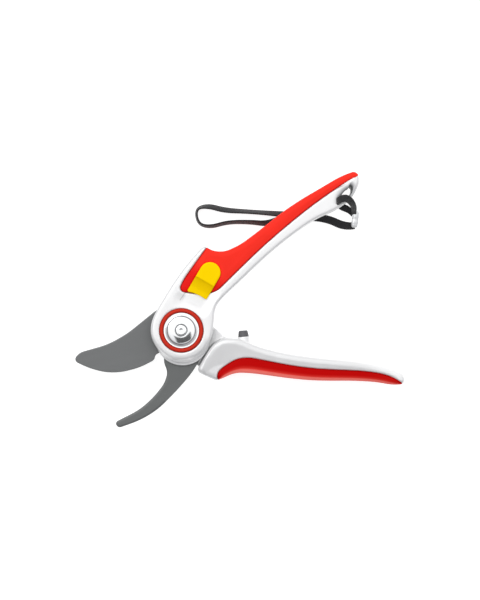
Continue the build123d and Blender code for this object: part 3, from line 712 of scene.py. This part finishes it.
def lower_slope(places, edge):
    """The fall of the lower handle's face, which leans away from a bevel along its inner edge."""
    along, across = places[:, :2] @ LOWER_AXIS, places[:, :2] @ LOWER_ACROSS
    inward = across - np.interp(along, stations, inner_edge)
    return reround(edge, LOWER_ROUND) + bevel(edge, 3.4, 0.4) + 0.085 * np.clip(inward - 3.0, 0, 14)


def shape_lower_frame(places):
    edge, seam = distances(places, lower_rim), distances(places, lower_seam)
    fall = lower_slope(places, edge)
    # Painted shade over the top, a little less beside the seam
    painted_shade = 0.22 * smooth_step(places[:, 2], 16.0, 18.0) - 0.12 * near(seam, 1.0)
    return lower_faces(places, fall + 0.4 * near(seam, 0.35), reround(edge, LOWER_ROUND)), painted_shade


sculpted("lower_frame", "lower_handle", "alloy", 0.45, shape_lower_frame)
lower_grip_out, _ = split_outline("lower_grip", "lower_frame", RIM_LEVEL)
lower_grip_rim = tree_of(lower_grip_out)


def shape_lower_grip(places):
    edge, seam = distances(places, lower_grip_rim), distances(places, lower_seam)
    share = seam / np.maximum(edge + seam, 0.1)
    wide = smooth_step(edge + seam, 3.0, 6.0)
    channel = 0.9 * wide * (1 - smooth_step(share, 0.0, 0.6)) + 0.3 * near(seam, 0.4)
    # Painted shade, deepest in the channel beside the seam and gone toward the top's outer rim, where the
    # painted highlight shows; the sides keep a little
    band = 0.5 * (1 - smooth_step(share, 0.45, 0.86)) + 0.4 * near(seam, 0.45)
    on_top = smooth_step(places[:, 2], 11.0, 18.0)
    return lower_faces(places, channel, channel), 0.2 + (band - 0.2) * on_top


sculpted("lower_grip", "lower_handle", "red_painted_highlight_and_shade", 0.36, shape_lower_grip)

# --- Thumb slider and buffer cap: the same shapes, moulded with small rounds ---
SLIDER_CENTRE = np.array([26.9, 31.0])


def shape_slider(places):
    """The same shape, with painted shade on its thumb ramp, most at the ramp's start."""
    forward = (places[:, :2] - SLIDER_CENTRE).sum(axis=1) * -math.sqrt(0.5)
    return places, smooth_step(forward, 6.0, 7.0) * (0.75 - 0.5 * smooth_step(forward, 8.0, 15.0))


def as_is(places):
    return places, np.zeros(len(places))


sculpted("lock_slider", "lock", "yellow", 0.22, shape_slider, relax=4)
sculpted("buffer_cap", "lower_handle", "rubber", 0.14, as_is, relax=4)

# --- Blades: the cutting blade is ground thin from underneath, and the hook blade's edge eased on top ---
CUTTING_TOP, CUTTING_THICKNESS, GRIND_WIDTH, GRIND_DEPTH = 9.2, 3.2, 7.5, 2.5
HOOK_BOTTOM, HOOK_THICKNESS, EASED_WIDTH, EASED_DEPTH = 9.3, 3.3, 1.0, 0.5
cutting_outline, hook_outline = outline_at("cutting_blade", 7.6), outline_at("hook_blade", 11.0)
x, y = cutting_outline.T
cutting_edge = tree_of(cutting_outline[(x < -17.0) & (y < 0.12 * (x + 70.6) - 1.5)])
x, y = hook_outline.T
hook_edge = tree_of(hook_outline[(y < -20.0) & (x < -0.9 * (-20 - y) - 2.0)])


def shape_cutting_blade(places):
    grind = np.clip(1 - distances(places, cutting_edge) / GRIND_WIDTH, 0, 1) * GRIND_DEPTH
    moved = places.copy()
    moved[:, 2] += grind * (CUTTING_TOP - places[:, 2]) / CUTTING_THICKNESS
    return moved, np.zeros(len(places))


def shape_hook_blade(places):
    eased = np.clip(1 - distances(places, hook_edge) / EASED_WIDTH, 0, 1) * EASED_DEPTH
    moved = places.copy()
    moved[:, 2] -= eased * np.clip((places[:, 2] - HOOK_BOTTOM) / HOOK_THICKNESS, 0, 1)
    return moved, np.zeros(len(places))


sculpted("cutting_blade", "lower_handle", "blade", 0.36, shape_cutting_blade)
sculpted("hook_blade", "upper_handle", "hook", 0.36, shape_hook_blade)

# --- Light and floor ---
SKY_SIDE = Vector((0.16, 0.52, 0.84)).normalized()
SKY_STRENGTH = 1.3
CARD_X, CARD_Y, CARD_HALF_X, CARD_HALF_Y = -0.01, -0.235, 0.24, 0.155
CARD_LOWEST = 0.5
KEY_PLACE, KEY_SIZE, KEY_POWER = Vector((-0.3, 0.6, 1.1)), 0.9, 4.0
FLOOR_REACH, FLOOR_LEVEL, FLOOR_GLOW = 1.5, -0.0003, 0.85

world = bpy.data.worlds.new("world")
bpy.context.scene.world = world
world.use_nodes = True
sky_nodes, sky_links = world.node_tree.nodes, world.node_tree.links


def sky_value(operation, first, second):
    made = sky_nodes.new("ShaderNodeMath")
    made.operation = operation
    for socket, value in zip(made.inputs, (first, second)):
        if isinstance(value, (int, float)):
            socket.default_value = value
        else:
            sky_links.new(value, socket)
    return made.outputs["Value"]


def card_share(along, centre, half_size):
    """How far out a direction is along one axis of the card, as a share of the card's half size."""
    gap = sky_value("ABSOLUTE", sky_value("SUBTRACT", along, centre), 0)
    return sky_value("DIVIDE", gap, half_size)


# Brighter toward one side of the ceiling
direction = sky_nodes.new("ShaderNodeTexCoord")
facing = sky_nodes.new("ShaderNodeVectorMath")
facing.operation = "DOT_PRODUCT"
facing.inputs[1].default_value = SKY_SIDE
sky_links.new(direction.outputs["Generated"], facing.inputs[0])
glow = ramp(sky_nodes, sky_links, facing.outputs["Value"], [
    (0.0, (0.20, 0.20, 0.21)), (0.36, (0.40, 0.40, 0.41)), (0.62, (0.70, 0.70, 0.71)), (0.84, WHITE),
    (1.0, WHITE),
])
# A dark card in the ceiling, as a camera's stand leaves, which the polished nut shows
split = sky_nodes.new("ShaderNodeSeparateXYZ")
sky_links.new(direction.outputs["Generated"], split.inputs["Vector"])
out_x = card_share(split.outputs["X"], CARD_X, CARD_HALF_X)
out_y = card_share(split.outputs["Y"], CARD_Y, CARD_HALF_Y)
too_low = sky_value("LESS_THAN", split.outputs["Z"], CARD_LOWEST)
outside = sky_value("ADD", sky_value("MAXIMUM", out_x, out_y), too_low)
card = ramp(sky_nodes, sky_links, outside, [(0.85, (0.12, 0.12, 0.12)), (1.0, WHITE)])
sky_links.new(multiplied(sky_nodes, sky_links, glow, card), sky_nodes["Background"].inputs["Color"])
sky_nodes["Background"].inputs["Strength"].default_value = SKY_STRENGTH

key_data = bpy.data.lights.new("key", "AREA")
key_data.shape = "DISK"
key_data.size = KEY_SIZE
key_data.energy = KEY_POWER
key = bpy.data.objects.new("key", key_data)
key.location = KEY_PLACE
key.rotation_euler = (VIEW_CENTRE - KEY_PLACE).to_track_quat("-Z", "Y").to_euler()
bpy.context.scene.collection.objects.link(key)

floor_corners = [(-1, -1), (1, -1), (1, 1), (-1, 1)]
floor_mesh = bpy.data.meshes.new("floor")
floor_mesh.from_pydata([(x * FLOOR_REACH, y * FLOOR_REACH, FLOOR_LEVEL) for x, y in floor_corners], [],
                       [(0, 1, 2, 3)])
floor = bpy.data.objects.new("floor", floor_mesh)
bpy.context.scene.collection.objects.link(floor)
floor_finish = grained("floor", (0.4, 0.4, 0.4), 0.9, grain=300, spread=0.005, specular=0.0)
floor_shader = floor_finish.node_tree.nodes["Principled BSDF"]
floor_shader.inputs["Emission Color"].default_value = (*WHITE, 1)
floor_shader.inputs["Emission Strength"].default_value = FLOOR_GLOW
floor_mesh.materials.append(floor_finish)
bpy.context.scene.view_settings.view_transform = "Standard"
